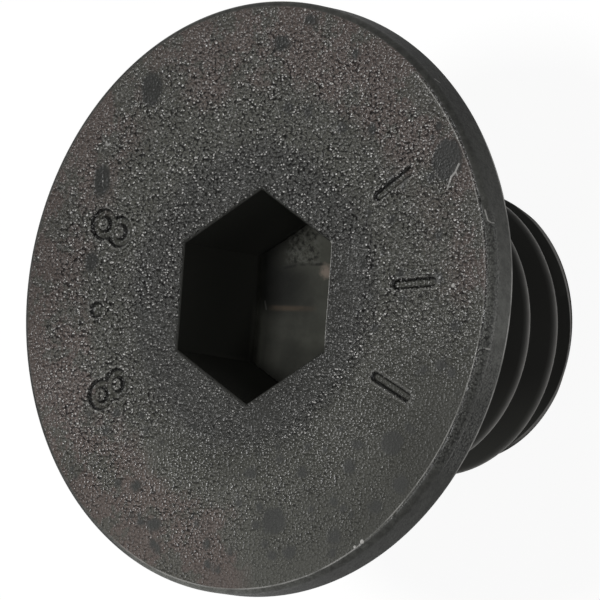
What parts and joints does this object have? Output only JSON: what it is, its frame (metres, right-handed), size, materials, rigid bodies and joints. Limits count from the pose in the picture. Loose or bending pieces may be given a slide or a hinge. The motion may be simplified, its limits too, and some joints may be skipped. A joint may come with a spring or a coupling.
{
  "type": "countersunk socket screw",
  "caption": "Short black countersunk screw with a hexagon socket, a 90 degree seating cone, a narrow upright rim and a right-hand metric thread.",
  "frame": {"origin": "middle of the flat end of the thread, on the surface that the screw stands on", "axes": "+Z along the screw from the end of the thread to the top of the head; +X and -X square to two flats of the socket"},
  "size_m": [0.016, 0.016, 0.01],
  "materials": {
    "black_steel": "black oxide on forged steel, matt, with a fine sparkling grain on the top of the head and a smoother rim"
  },
  "bodies": {
    "root": {"screw": "black_steel"}
  },
  "joints": []
}
